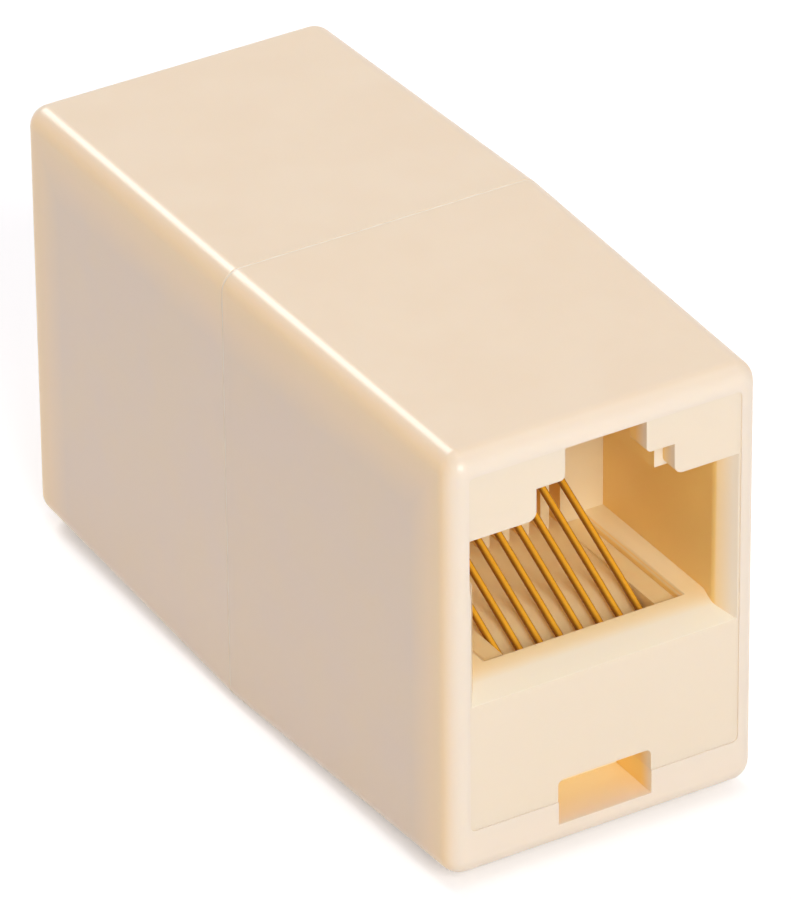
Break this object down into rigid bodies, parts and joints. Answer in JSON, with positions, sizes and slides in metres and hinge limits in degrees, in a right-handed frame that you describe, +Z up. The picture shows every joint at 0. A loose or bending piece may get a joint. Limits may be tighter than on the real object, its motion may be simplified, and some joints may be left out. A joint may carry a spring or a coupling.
{
  "type": "rj45 inline coupler",
  "caption": "Rectangular in-line coupler for modular network cables: a two-part drafted sleeve with a modular jack in each end, joined by crossed leads.",
  "frame": {"origin": "under the middle of the seam between the two half shells, on the surface that the coupler lies on", "axes": "+Y along the coupler, with the front jack's mouth facing -Y and the rear jack's facing +Y; +Z up, on the latch side of both jacks"},
  "size_m": [0.0164, 0.0368, 0.0222],
  "materials": {
    "shell": "ivory ABS, satin with a soft sheen",
    "jack_body": "ivory ABS, smooth",
    "contact_carrier": "ivory plastic, smooth",
    "contact": "gold-plated phosphor bronze wire, bright",
    "lead_blue": "blue PVC insulation",
    "lead_orange": "orange PVC insulation",
    "lead_black": "black PVC insulation",
    "lead_red": "red PVC insulation",
    "lead_green": "green PVC insulation",
    "lead_yellow": "yellow PVC insulation",
    "lead_brown": "brown PVC insulation",
    "lead_white": "white PVC insulation"
  },
  "bodies": {
    "root": {"front_shell": "shell", "front_jack_body": "jack_body", "front_contact_carrier": "contact_carrier", "front_contact_1": "contact", "front_contact_2": "contact", "front_contact_3": "contact", "front_contact_4": "contact", "front_contact_5": "contact", "front_contact_6": "contact", "front_contact_7": "contact", "front_contact_8": "contact", "rear_shell": "shell", "rear_jack_body": "jack_body", "rear_contact_carrier": "contact_carrier", "rear_contact_1": "contact", "rear_contact_2": "contact", "rear_contact_3": "contact", "rear_contact_4": "contact", "rear_contact_5": "contact", "rear_contact_6": "contact", "rear_contact_7": "contact", "rear_contact_8": "contact", "lead_1": "lead_blue", "lead_2": "lead_orange", "lead_3": "lead_black", "lead_4": "lead_red", "lead_5": "lead_green", "lead_6": "lead_yellow", "lead_7": "lead_brown", "lead_8": "lead_white"}
  },
  "joints": []
}
